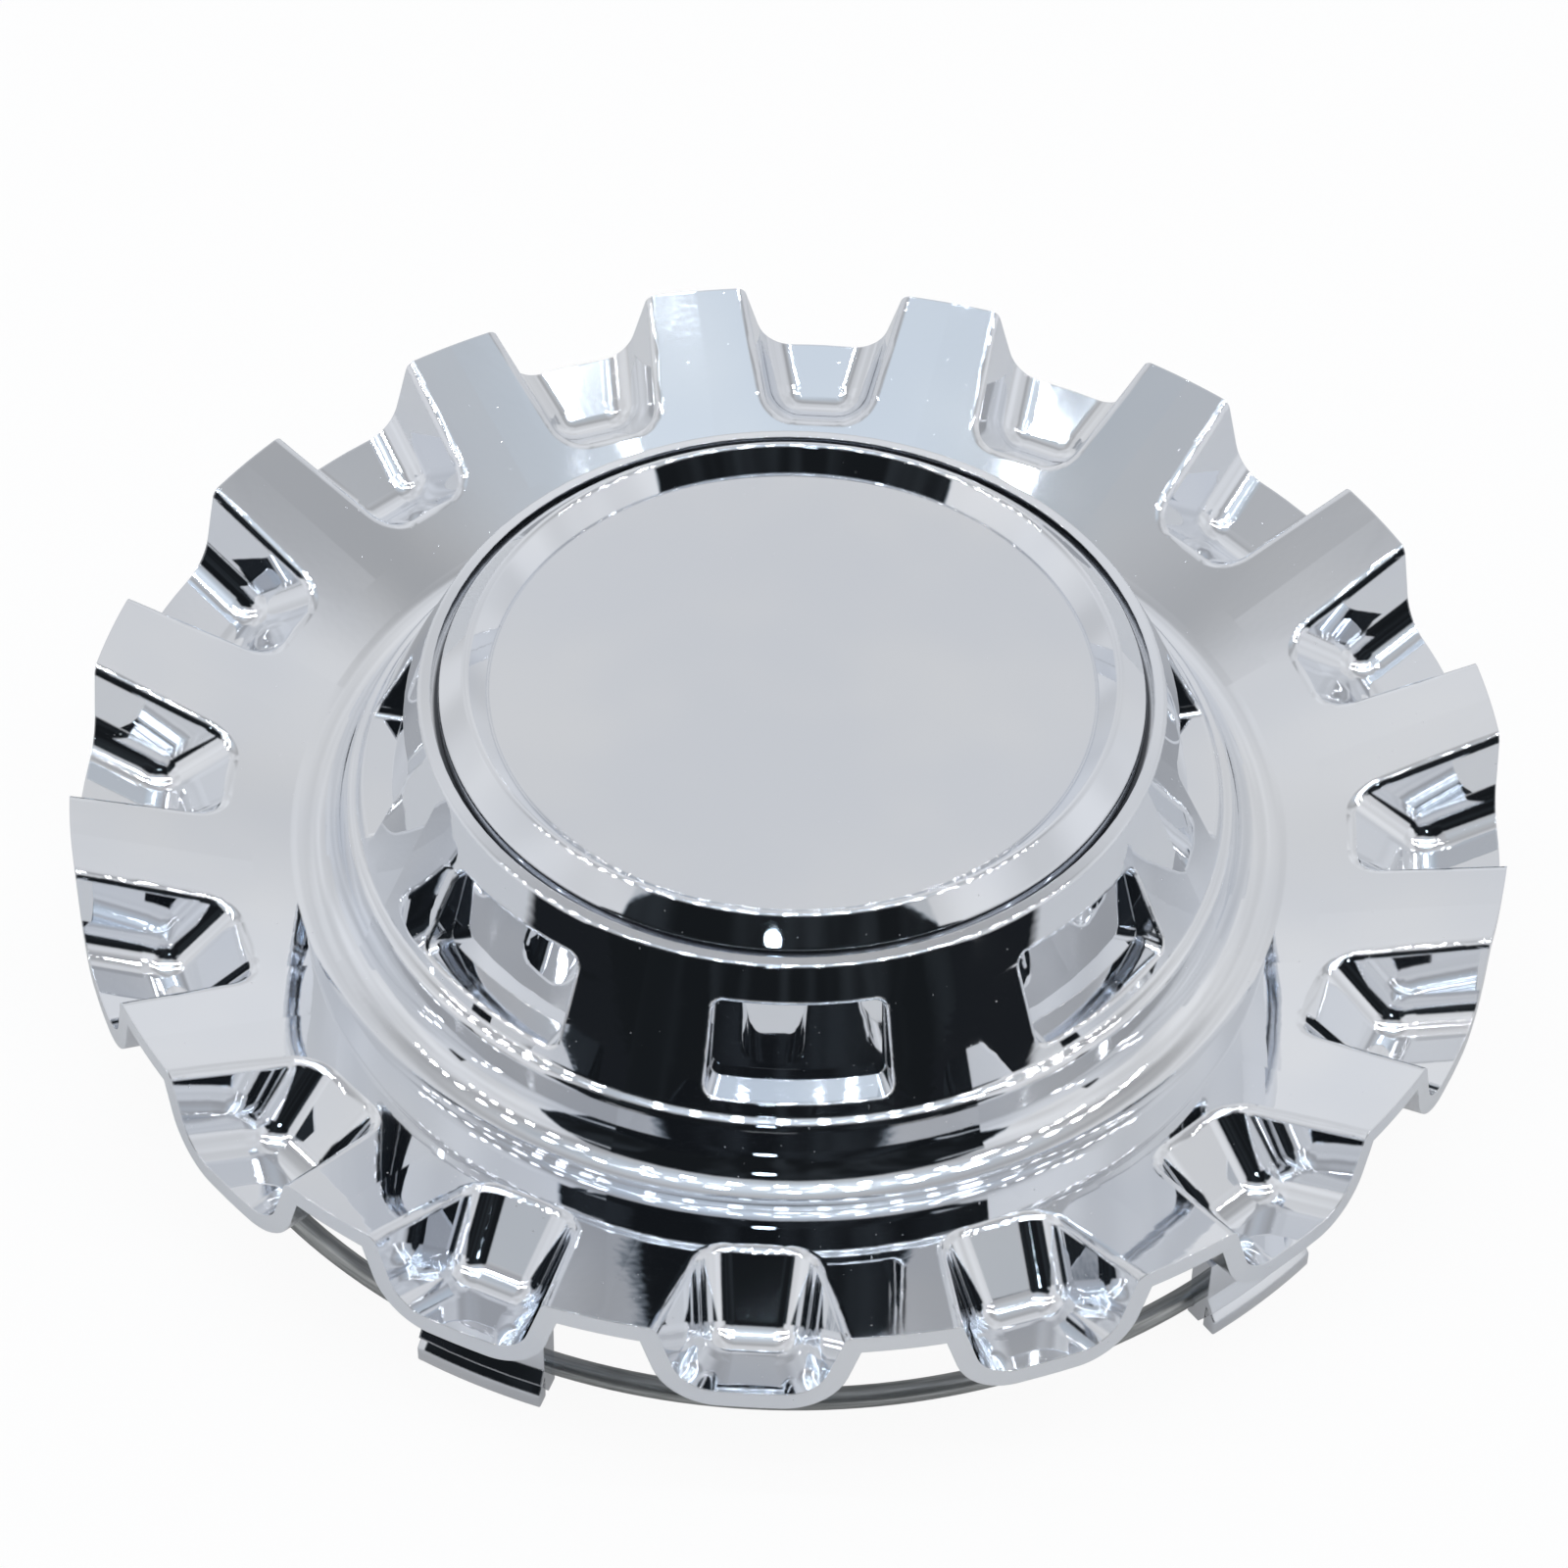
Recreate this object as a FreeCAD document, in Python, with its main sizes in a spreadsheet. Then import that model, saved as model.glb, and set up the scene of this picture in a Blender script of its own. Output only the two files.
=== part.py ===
import FreeCAD, Part
import math
import os
import Sketcher

# Axle hub cover for an eight-stud truck wheel, in millimetres.
# Z is the wheel axis and points out of the wheel; Z = 0 is the plane of the clip feet.

doc = FreeCAD.newDocument("axle_hub_cover")

# Driving sizes; radii follow each other inwards from the rim, heights follow each other upwards
sheet = doc.addObject("Spreadsheet::Sheet", "Sizes")
SIZES = [
    # flange and teeth
    ("rim_radius", 105.0),
    ("tip_height", 30.5),
    ("cover_wall", 3.0),
    ("flange_slope", 21.1),
    # scoops between the teeth, measured on the flange surface
    ("pocket_count", 16),
    ("pocket_length", 22.0),
    ("pocket_end_width", 15.0),
    ("pocket_rim_width", 25.8),
    ("pocket_depth", 11.3),
    ("pocket_draft", 13.0),
    ("pocket_end_draft", 31.0),
    ("pocket_corner_round", 5.2),
    ("pocket_floor_round", 5.4),
    ("pocket_mouth_round", 1.5),
    ("cut_margin", 3.0),
    # rolled moulding round the drum
    ("flange_band", 15.1),
    ("roll_run", 2.65),
    ("roll_width", 1.55),
    ("roll_drop", 4.4),
    ("roll_rise", 0.4),
    ("roll_round", 1.6),
    ("roll_foot_round", 5.6),
    # drum
    ("drum_base_round", 0.9),
    ("drum_flare", 9.8),
    ("drum_height", 20.5),
    ("drum_wall", 3.3),
    ("land_width", 1.7),
    ("land_rise", 0.2),
    ("land_round", 0.7),
    ("seat_drop", 2.2),
    ("seat_width", 5.6),
    ("seat_thickness", 2.6),
    # recesses in the drum
    ("notch_count", 8),
    ("notch_turn", 4.0),
    ("notch_angle", 24.4),
    ("notch_depth", 5.4),
    ("notch_top_depth", 1.8),
    ("notch_sill", 1.8),
    ("notch_height", 14.8),
    ("notch_corner_round", 1.6),
    ("notch_lip_round", 0.7),
    # clip feet below the scoops
    ("clip_count", 5),
    ("clip_step", 67.5),
    ("clip_angle", 11.0),
    ("clip_inset", 6.6),
    ("clip_thickness", 3.7),
    ("barb_height", 4.2),
    ("barb_reach", 1.2),
    ("barb_rise", 2.2),
    ("clip_lead_in", 1.4),
    # spring wire in the clip feet
    ("ring_standoff", 0.6),
    ("ring_height", 2.6),
    ("wire_diameter", 3.2),
    ("ring_gap_angle", 12.0),
    ("ring_clearance", 0.05),
    # cap in the top of the drum
    ("cap_gap", 1.1),
    ("cap_edge_rise", 2.6),
    ("cap_bevel_width", 4.1),
    ("cap_bevel_rise", 3.6),
    ("cap_crest_round", 0.8),
    ("cap_wall", 2.4),
    ("disc_bevel_width", 2.9),
    ("disc_drop", 3.65),
    ("leg_count", 6),
    ("leg_angle", 14.0),
    ("leg_thickness", 1.8),
    ("leg_clearance", 0.4),
    ("leg_hook", 1.2),
    ("hook_clearance", 0.1),
    ("hook_height", 2.4),
]
for row, (alias, value) in enumerate(SIZES, start=1):
    sheet.set("A%d" % row, alias)
    sheet.set("B%d" % row, str(value))
    sheet.setAlias("B%d" % row, alias)
doc.recompute()


def size(alias):
    return float(sheet.get(alias))


# Radii, from the rim inwards
POCKET_END = "(Sizes.rim_radius - Sizes.pocket_length)"
FOOT_RADIUS = "(%s - Sizes.flange_band)" % POCKET_END
ROLL_RADIUS = "(%s - Sizes.roll_run)" % FOOT_RADIUS
BASE_RADIUS = "(%s - Sizes.roll_width)" % ROLL_RADIUS
TOP_RADIUS = "(%s - Sizes.drum_flare)" % BASE_RADIUS
LAND_RADIUS = "(%s - Sizes.land_width)" % TOP_RADIUS
SEAT_RADIUS = "(%s - Sizes.seat_width)" % LAND_RADIUS
CAP_RADIUS = "(%s - Sizes.cap_gap)" % LAND_RADIUS
CREST_RADIUS = "(%s - Sizes.cap_bevel_width)" % CAP_RADIUS
DISC_RADIUS = "(%s - Sizes.disc_bevel_width)" % CREST_RADIUS
CLIP_OUTSIDE = "(Sizes.rim_radius - Sizes.clip_inset)"
CLIP_INSIDE = "(%s - Sizes.clip_thickness)" % CLIP_OUTSIDE
RING_RADIUS = "(%s - Sizes.ring_standoff)" % CLIP_INSIDE

# Heights, from the feet upwards
ROLL_HEIGHT = "(Sizes.tip_height - Sizes.roll_drop)"
BASE_HEIGHT = "(%s + Sizes.roll_rise)" % ROLL_HEIGHT
TOP_HEIGHT = "(%s + Sizes.drum_height)" % BASE_HEIGHT
SEAT_HEIGHT = "(%s - Sizes.seat_drop)" % TOP_HEIGHT
SEAT_UNDER = "(%s - Sizes.seat_thickness)" % SEAT_HEIGHT
ROLL_UNDER = "(%s - Sizes.cover_wall)" % ROLL_HEIGHT
NOTCH_FLOOR = "(%s + Sizes.notch_sill)" % BASE_HEIGHT
NOTCH_TOP = "(%s + Sizes.notch_height)" % BASE_HEIGHT
CAP_EDGE = "(%s + Sizes.cap_edge_rise)" % SEAT_HEIGHT
CREST_HEIGHT = "(%s + Sizes.cap_bevel_rise)" % CAP_EDGE
DISC_HEIGHT = "(%s - Sizes.disc_drop)" % CREST_HEIGHT
DISC_UNDER = "(%s - Sizes.cap_wall)" % DISC_HEIGHT


def flange_at(radius):
    """Height of the flange surface at a radius."""
    return "(Sizes.tip_height - (Sizes.rim_radius - %s) * tan(Sizes.flange_slope))" % radius


def cone_at(height):
    """Radius of the drum's outside at a height."""
    return "(%s + (%s - %s) * Sizes.drum_flare / Sizes.drum_height)" % (TOP_RADIUS, TOP_HEIGHT, height)


# The wall measured straight down, and the radius where the flange takes over from the moulding
WALL_DROP = "Sizes.cover_wall / cos(Sizes.flange_slope)"
JOIN_RADIUS = "(%s - 1.2 * Sizes.cover_wall)" % POCKET_END


def origin_feature(body, role):
    for feature in body.Origin.OriginFeatures:
        if feature.Role == role:
            return feature


def new_body(label):
    body = doc.addObject("PartDesign::Body", label)
    body.Label = label
    return body


def new_sketch(body, name, role):
    sketch = body.newObject("Sketcher::SketchObject", name)
    sketch.AttachmentSupport = [(origin_feature(body, role), "")]
    sketch.MapMode = "FlatFace"
    return sketch


def tie(sketch, kind, index, position, label, expression):
    """Tie one coordinate of a sketch point to the sheet, measured from the sketch origin."""
    number = sketch.addConstraint(Sketcher.Constraint(kind, -1, 1, index, position, 1.0))
    sketch.renameConstraint(number, label)
    sketch.setExpression("Constraints." + label, expression)


# Corner names of every outline, in drawing order
CORNERS = {}


def outline(sketch, corners):
    """Draw a closed outline; each corner is a name and its two coordinates as expressions."""
    count = len(corners)
    points = []
    for index in range(count):
        turn = 2.0 * math.pi * index / count
        points.append(FreeCAD.Vector(60.0 + 20.0 * math.cos(turn), 30.0 + 20.0 * math.sin(turn), 0))
    for index in range(count):
        sketch.addGeometry(Part.LineSegment(points[index], points[(index + 1) % count]), False)
    for index in range(count):
        sketch.addConstraint(Sketcher.Constraint("Coincident", index, 2, (index + 1) % count, 1))
    for index, (name, across, up) in enumerate(corners):
        if across == "0":
            sketch.addConstraint(Sketcher.Constraint("PointOnObject", index, 1, -2))
        else:
            tie(sketch, "DistanceX", index, 1, name + "_across", across)
        if up == "0":
            sketch.addConstraint(Sketcher.Constraint("PointOnObject", index, 1, -1))
        else:
            tie(sketch, "DistanceY", index, 1, name + "_up", up)
    CORNERS[sketch.Name] = [name for name, across, up in corners]
    doc.recompute()


def soften(sketch, name, alias):
    """Round one corner of an outline; the corner itself stays as a point."""
    sketch.fillet(CORNERS[sketch.Name].index(name), 1, size(alias), True, True)
    arcs = [index for index, item in enumerate(sketch.Geometry) if isinstance(item, Part.ArcOfCircle)]
    number = sketch.addConstraint(Sketcher.Constraint("Radius", arcs[-1], size(alias)))
    sketch.renameConstraint(number, name + "_round")
    sketch.setExpression("Constraints." + name + "_round", "Sizes." + alias)
    doc.recompute()


def corner(sketch, name):
    """Radius and height of a sharp corner of a section sketch."""
    point = sketch.Geometry[CORNERS[sketch.Name].index(name)].StartPoint
    return point.x, point.y


def revolved(body, kind, name, sketch, angle):
    feature = body.newObject("PartDesign::" + kind, name)
    feature.Profile = sketch
    feature.ReferenceAxis = (sketch, ["V_Axis"])
    feature.Midplane = True
    feature.setExpression("Angle", angle)
    sketch.Visibility = False
    doc.recompute()
    return feature


def edges_where(feature, test):
    return ["Edge%d" % number for number, edge in enumerate(feature.Shape.Edges, start=1) if test(edge)]


def faces_where(feature, test):
    return ["Face%d" % number for number, face in enumerate(feature.Shape.Faces, start=1) if test(face)]


def rounded(body, name, base, test, radius):
    feature = body.newObject("PartDesign::Fillet", name)
    feature.Base = (base, edges_where(base, test))
    feature.setExpression("Radius", radius)
    doc.recompute()
    return feature


def combined(body, name, kind, tool):
    feature = body.newObject("PartDesign::Boolean", name)
    feature.Type = kind
    feature.setObjects([tool])
    doc.recompute()
    return feature


def patterned(body, name, count, angle="360"):
    """Repeat the whole body round the wheel axis."""
    feature = body.newObject("PartDesign::PolarPattern", name)
    feature.TransformMode = "Whole shape"
    feature.Axis = (origin_feature(body, "Z_Axis"), [""])
    feature.setExpression("Angle", angle)
    body.Tip = feature
    feature.setExpression("Occurrences", count)
    doc.recompute()
    return feature


NEAR = 0.02


def samples(edge):
    return [edge.valueAt(edge.FirstParameter + share * (edge.LastParameter - edge.FirstParameter))
            for share in (0.0, 0.25, 0.5, 0.75, 1.0)]


def radius_of(point):
    return math.hypot(point.x, point.y)


def turn_of(point):
    return abs(math.atan2(point.y, point.x))


# Local frame of a scoop: along the flange slope, and out of the flange surface
slope = math.radians(size("flange_slope"))
apex = FreeCAD.Vector(0, 0, size("tip_height") - size("rim_radius") * math.tan(slope))
along = FreeCAD.Vector(math.cos(slope), 0, math.sin(slope))
out = FreeCAD.Vector(-math.sin(slope), 0, math.cos(slope))
end_along = (size("rim_radius") - size("pocket_length")) / math.cos(slope)
rim_along = size("rim_radius") / math.cos(slope)
END_ALONG = "%s / cos(Sizes.flange_slope)" % POCKET_END
RIM_ALONG = "Sizes.rim_radius / cos(Sizes.flange_slope)"
SPREAD = "((Sizes.pocket_rim_width - Sizes.pocket_end_width) / 2 * cos(Sizes.flange_slope) / Sizes.pocket_length)"


def depth_of(point):
    return -(point - apex).dot(out)


def reach_of(point):
    return (point - apex).dot(along)


def scoop_body(label, lift, grow, depth, corner_round, floor_round):
    """A scoop as a solid block: its plan is drawn on a plane above the flange and drawn down with draft.

    All sizes are expressions; lift is the height of the plan above the flange surface and grow the
    width added all round.
    """
    body = new_body(label)
    sketch = new_sketch(body, label + "_plan", "XY_Plane")
    sketch.AttachmentOffset = FreeCAD.Placement(
        FreeCAD.Vector(0, 0, 0), FreeCAD.Rotation(FreeCAD.Vector(0, -1, 0), size("flange_slope")))
    sketch.setExpression("AttachmentOffset.Rotation.Angle", "Sizes.flange_slope")
    sketch.setExpression("AttachmentOffset.Base.x", "-(%s) * sin(Sizes.flange_slope)" % lift)
    sketch.setExpression(
        "AttachmentOffset.Base.z",
        "Sizes.tip_height - Sizes.rim_radius * tan(Sizes.flange_slope) + (%s) * cos(Sizes.flange_slope)" % lift)
    side = "((%s) + (%s) * tan(Sizes.pocket_draft))" % (grow, lift)
    end = "((%s) / cos(Sizes.pocket_end_draft) + (%s) * tan(Sizes.pocket_end_draft))" % (grow, lift)
    near_half = "(Sizes.pocket_end_width / 2 + %s - %s * %s)" % (side, end, SPREAD)
    far = "(%s + 2 * Sizes.cut_margin)" % RIM_ALONG
    far_half = "(Sizes.pocket_rim_width / 2 + %s + 2 * Sizes.cut_margin * %s)" % (side, SPREAD)
    outline(sketch, [
        ("near_left", "%s - %s" % (END_ALONG, end), near_half),
        ("near_right", "%s - %s" % (END_ALONG, end), "-" + near_half),
        ("far_right", far, "-" + far_half),
        ("far_left", far, far_half),
    ])
    block = body.newObject("PartDesign::Pad", label + "_block")
    block.Profile = sketch
    block.setExpression("Length", "%s + (%s)" % (depth, lift))
    block.Reversed = True
    sketch.Visibility = False
    doc.recompute()
    top = max(-depth_of(vertex.Point) for vertex in block.Shape.Vertexes)
    floor = max(depth_of(vertex.Point) for vertex in block.Shape.Vertexes)
    far_end = max(reach_of(vertex.Point) for vertex in block.Shape.Vertexes)

    def is_end(face):
        faces_axis = abs(face.normalAt(0, 0).dot(along)) > 0.7
        return faces_axis and reach_of(face.CenterOfMass) < (end_along + rim_along) / 2

    def is_side(face):
        square = abs(face.normalAt(0, 0).dot(out)) < 0.1
        return square and not is_end(face) and reach_of(face.CenterOfMass) < far_end - NEAR

    def is_top(face):
        return abs(depth_of(face.CenterOfMass) + top) < NEAR

    def leaned(name, base, test, angle):
        feature = body.newObject("PartDesign::Draft", name)
        feature.Base = (base, faces_where(base, test))
        feature.NeutralPlane = (base, faces_where(base, is_top))
        feature.Reversed = True
        feature.setExpression("Angle", angle)
        doc.recompute()
        if feature.Shape.Volume >= base.Shape.Volume:
            raise RuntimeError("the scoop walls lean the wrong way")
        return feature

    sides = leaned(label + "_sides", block, is_side, "Sizes.pocket_draft")
    ramp = leaned(label + "_ramp", sides, is_end, "Sizes.pocket_end_draft")

    def upright_corner(edge):
        """True for the two slanting edges where the end wall meets the side walls."""
        points = samples(edge)
        run = points[-1] - points[0]
        leans = abs(run.dot(out)) > 0.7 * run.Length
        return leans and reach_of(points[2]) < (end_along + rim_along) / 2

    def floor_edge(edge):
        """True for the edges round the floor that do not lie at its open end."""
        points = samples(edge)
        at_floor = all(abs(depth_of(p) - floor) < NEAR for p in points)
        return at_floor and not all(reach_of(p) > far_end - NEAR for p in points)

    corners = rounded(body, label + "_corners", ramp, upright_corner, corner_round)
    rounded(body, label + "_floor", corners, floor_edge, floor_round)
    return body


# The tub starts inside the flange wall so that nothing stands out of the flange surface
tub = scoop_body("tub", "-Sizes.cover_wall / 2", "Sizes.cover_wall", "Sizes.pocket_depth + Sizes.cover_wall",
                 "Sizes.pocket_corner_round + Sizes.cover_wall", "Sizes.pocket_floor_round + Sizes.cover_wall")
scoop = scoop_body("scoop", "Sizes.cut_margin", "0", "Sizes.pocket_depth",
                   "Sizes.pocket_corner_round", "Sizes.pocket_floor_round")

# Flange: one scoop with half a tooth on each side, then repeated
flange = new_body("flange_ring")
flange_section = new_sketch(flange, "flange_section", "XZ_Plane")
outline(flange_section, [
    ("join_top", JOIN_RADIUS, flange_at(JOIN_RADIUS)),
    ("join_under", JOIN_RADIUS, flange_at(JOIN_RADIUS) + " - " + WALL_DROP),
    ("rim_under", "Sizes.rim_radius", "Sizes.tip_height - " + WALL_DROP),
    ("rim_top", "Sizes.rim_radius", "Sizes.tip_height"),
])
flange_wedge = revolved(flange, "Revolution", "flange_wedge", flange_section, "360 / Sizes.pocket_count")
with_tub = combined(flange, "with_tub", "Fuse", tub)
rim_section = new_sketch(flange, "rim_section", "XZ_Plane")
BEYOND = "Sizes.rim_radius + 10 * Sizes.cut_margin"
ABOVE = "Sizes.tip_height + 10 * Sizes.cut_margin"
outline(rim_section, [
    ("inner_low", "Sizes.rim_radius", "-Sizes.cut_margin"),
    ("outer_low", BEYOND, "-Sizes.cut_margin"),
    ("outer_high", BEYOND, ABOVE),
    ("inner_high", "Sizes.rim_radius", ABOVE),
])
rim_trim = revolved(flange, "Groove", "rim_trim", rim_section, "360")
with_scoop = combined(flange, "with_scoop", "Cut", scoop)
half_pitch = math.pi / size("pocket_count")


def mouth_edge(edge):
    """True for the edges where the scoop walls meet the flange surface."""
    points = samples(edge)
    for p in points:
        surface = size("tip_height") - (size("rim_radius") - radius_of(p)) * math.tan(slope)
        if abs(p.z - surface) > NEAR:
            return False
    on_side = all(abs(turn_of(p) - half_pitch) < 0.001 for p in points)
    at_rim = all(abs(radius_of(p) - size("rim_radius")) < NEAR for p in points)
    at_join = all(abs(radius_of(p) - corner(flange_section, "join_top")[0]) < NEAR for p in points)
    return not on_side and not at_rim and not at_join


scoop_mouth = rounded(flange, "scoop_mouth", with_scoop, mouth_edge, "Sizes.pocket_mouth_round")
flange_round = patterned(flange, "flange_round", "Sizes.pocket_count")

# Drum and moulding: one recess with half a panel on each side, then repeated
drum = new_body("drum_ring")
drum_section = new_sketch(drum, "drum_section", "XZ_Plane")
outline(drum_section, [
    ("join_top", JOIN_RADIUS, flange_at(JOIN_RADIUS)),
    ("roll_foot", FOOT_RADIUS, flange_at(FOOT_RADIUS)),
    ("roll_edge", ROLL_RADIUS, ROLL_HEIGHT),
    ("drum_base", BASE_RADIUS, BASE_HEIGHT),
    ("drum_top", TOP_RADIUS, TOP_HEIGHT),
    ("land_inner", LAND_RADIUS, TOP_HEIGHT + " + Sizes.land_rise"),
    ("seat_outer", LAND_RADIUS, SEAT_HEIGHT),
    ("seat_inner", SEAT_RADIUS, SEAT_HEIGHT),
    ("seat_lip", SEAT_RADIUS, SEAT_UNDER),
    ("seat_root", cone_at(SEAT_UNDER) + " - Sizes.drum_wall", SEAT_UNDER),
    ("base_root", cone_at(ROLL_UNDER) + " - Sizes.drum_wall", ROLL_UNDER),
    ("roll_under", ROLL_RADIUS + " - Sizes.cover_wall / 2", ROLL_UNDER),
    ("foot_under", FOOT_RADIUS + " - Sizes.cover_wall / 2",
     flange_at("(%s - Sizes.cover_wall / 2)" % FOOT_RADIUS) + " - " + WALL_DROP),
    ("join_under", JOIN_RADIUS, flange_at(JOIN_RADIUS) + " - " + WALL_DROP),
])
low_cone = corner(drum_section, "drum_base")
high_cone = corner(drum_section, "drum_top")
soften(drum_section, "roll_foot", "roll_foot_round")
soften(drum_section, "roll_edge", "roll_round")
soften(drum_section, "drum_base", "drum_base_round")
soften(drum_section, "drum_top", "land_round")
drum_wedge = revolved(drum, "Revolution", "drum_wedge", drum_section, "360 / Sizes.notch_count")

# Wall behind the recess, then the recess itself
NOTCH_BACK = "(%s - Sizes.notch_depth)" % BASE_RADIUS
NOTCH_TOP_BACK = "(%s - Sizes.notch_top_depth)" % cone_at(NOTCH_TOP)
INSIDE_CONE = " - Sizes.drum_wall / 2"
backing_section = new_sketch(drum, "backing_section", "XZ_Plane")
outline(backing_section, [
    ("low_inner", NOTCH_BACK + " - Sizes.cover_wall", ROLL_UNDER),
    ("low_outer", cone_at(ROLL_UNDER) + INSIDE_CONE, ROLL_UNDER),
    ("high_outer", cone_at(SEAT_UNDER) + INSIDE_CONE, SEAT_UNDER),
    ("high_inner", NOTCH_TOP_BACK + " - Sizes.cover_wall", SEAT_UNDER),
])
backing = revolved(drum, "Revolution", "backing", backing_section,
                   "Sizes.notch_angle + 2 * Sizes.cover_wall / %s * 180 / pi" % NOTCH_BACK)
notch_section = new_sketch(drum, "notch_section", "XZ_Plane")
outline(notch_section, [
    ("back_low", NOTCH_BACK, NOTCH_FLOOR),
    ("front_low", BASE_RADIUS + " + Sizes.cut_margin", NOTCH_FLOOR),
    ("front_high", BASE_RADIUS + " + Sizes.cut_margin", NOTCH_TOP),
    ("back_high", NOTCH_TOP_BACK, NOTCH_TOP),
])
notch = revolved(drum, "Groove", "notch", notch_section, "Sizes.notch_angle")
half_notch = math.radians(size("notch_angle")) / 2
notch_floor = corner(notch_section, "back_low")[1]
notch_top = corner(notch_section, "back_high")[1]


def notch_side(edge):
    return all(abs(turn_of(p) - half_notch) < 0.0005 for p in samples(edge))


def notch_corner(edge):
    """True for the four short edges where the floor and the ceiling of the recess meet its sides."""
    heights = [p.z for p in samples(edge)]
    level = any(all(abs(z - end) < NEAR for z in heights) for end in (notch_floor, notch_top))
    return level and notch_side(edge)


def notch_lip(edge):
    """True for the edges of the recess on the drum's outside."""
    lift = (high_cone[0] - low_cone[0]) / (high_cone[1] - low_cone[1])
    on_cone = all(abs(radius_of(p) - low_cone[0] - (p.z - low_cone[1]) * lift) < NEAR for p in samples(edge))
    inside = all(turn_of(p) < half_notch + 0.001 for p in samples(edge))
    return on_cone and inside and all(notch_floor - NEAR < p.z < notch_top + NEAR for p in samples(edge))


notch_corners = rounded(drum, "notch_corners", notch, notch_corner, "Sizes.notch_corner_round")
notch_lips = rounded(drum, "notch_lips", notch_corners, notch_lip, "Sizes.notch_lip_round")
drum_round = patterned(drum, "drum_round", "Sizes.notch_count")
drum.Placement = FreeCAD.Placement(
    FreeCAD.Vector(0, 0, 0), FreeCAD.Rotation(FreeCAD.Vector(0, 0, 1), size("notch_turn")))
drum.setExpression("Placement.Rotation.Angle", "Sizes.notch_turn")

# Clip feet below the scoops, rooted in the tub floors; they leave one wider gap for the wire's ends
clips = new_body("clip_feet")
clips.AllowCompound = True
clip_section = new_sketch(clips, "clip_section", "XZ_Plane")
CLIP_ROOT = (flange_at(CLIP_INSIDE)
             + " - (Sizes.pocket_depth + Sizes.cover_wall / 4) / cos(Sizes.flange_slope)")
outline(clip_section, [
    ("foot_inner", CLIP_INSIDE, "0"),
    ("foot_outer", CLIP_OUTSIDE + " - Sizes.clip_lead_in", "0"),
    ("barb_tip", CLIP_OUTSIDE + " + Sizes.barb_reach", "Sizes.barb_height"),
    ("barb_root", CLIP_OUTSIDE, "Sizes.barb_height + Sizes.barb_rise"),
    ("root_outer", CLIP_OUTSIDE, CLIP_ROOT),
    ("root_inner", CLIP_INSIDE, CLIP_ROOT),
])
clip = revolved(clips, "Revolution", "clip", clip_section, "Sizes.clip_angle")


def wire_circle(sketch, diameter):
    sketch.addGeometry(Part.Circle(FreeCAD.Vector(90.0, 3.0, 0), FreeCAD.Vector(0, 0, 1), 1.5), False)
    tie(sketch, "DistanceX", 0, 3, "centre_across", RING_RADIUS)
    tie(sketch, "DistanceY", 0, 3, "centre_up", "Sizes.ring_height")
    number = sketch.addConstraint(Sketcher.Constraint("Diameter", 0, 3.0))
    sketch.renameConstraint(number, "wire")
    sketch.setExpression("Constraints.wire", diameter)
    doc.recompute()


seat_section = new_sketch(clips, "ring_seat_section", "XZ_Plane")
wire_circle(seat_section, "Sizes.wire_diameter + 2 * Sizes.ring_clearance")
ring_seat = revolved(clips, "Groove", "ring_seat", seat_section, "2 * Sizes.clip_angle")
clip_round = patterned(clips, "clip_round", "Sizes.clip_count", "Sizes.clip_step * (Sizes.clip_count - 1)")
clips.Placement = FreeCAD.Placement(
    FreeCAD.Vector(0, 0, 0), FreeCAD.Rotation(FreeCAD.Vector(0, 0, 1), 180))

cover = doc.addObject("Part::MultiFuse", "cover")
cover.Shapes = [flange, drum, clips]
cover.Refine = True
cover.Label = "cover"
doc.recompute()

# Spring wire, open in the middle of the wider gap between the clip feet
ring = new_body("retaining_ring")
ring_section = new_sketch(ring, "ring_section", "XZ_Plane")
wire_circle(ring_section, "Sizes.wire_diameter")
ring_wire = revolved(ring, "Revolution", "ring_wire", ring_section, "360 - Sizes.ring_gap_angle")
ring.Placement = FreeCAD.Placement(
    FreeCAD.Vector(0, 0, 0), FreeCAD.Rotation(FreeCAD.Vector(0, 0, 1), -45))
ring.setExpression("Placement.Rotation.Angle", "Sizes.clip_step * (Sizes.clip_count - 1) / 2 - 180")

# Cap with a recessed blank disc, held by hooked legs below the seat
cap = new_body("centre_cap")
cap_section = new_sketch(cap, "cap_section", "XZ_Plane")
outline(cap_section, [
    ("disc_middle", "0", DISC_HEIGHT),
    ("disc_edge", DISC_RADIUS, DISC_HEIGHT),
    ("crest", CREST_RADIUS, CREST_HEIGHT),
    ("rim_top", CAP_RADIUS, CAP_EDGE),
    ("rim_low", CAP_RADIUS, SEAT_HEIGHT),
    ("rim_inner", CAP_RADIUS + " - Sizes.cap_wall", SEAT_HEIGHT),
    ("rim_root", CAP_RADIUS + " - Sizes.cap_wall", CAP_EDGE + " - Sizes.cap_wall / 2"),
    ("crest_under", CREST_RADIUS, CREST_HEIGHT + " - 1.4 * Sizes.cap_wall"),
    ("disc_under_edge", DISC_RADIUS + " + Sizes.cap_wall / 2", DISC_UNDER),
    ("disc_under_middle", "0", DISC_UNDER),
])
soften(cap_section, "crest", "cap_crest_round")
cap_body = revolved(cap, "Revolution", "cap_body", cap_section, "360")
leg_section = new_sketch(cap, "leg_section", "XZ_Plane")
LEG_OUTSIDE = "(%s - Sizes.leg_clearance)" % SEAT_RADIUS
LEG_INSIDE = "(%s - Sizes.leg_thickness)" % LEG_OUTSIDE
LEG_ROOT = DISC_HEIGHT + " - Sizes.cap_wall / 2"
HOOK_TOP = "(%s - Sizes.hook_clearance)" % SEAT_UNDER
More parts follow.
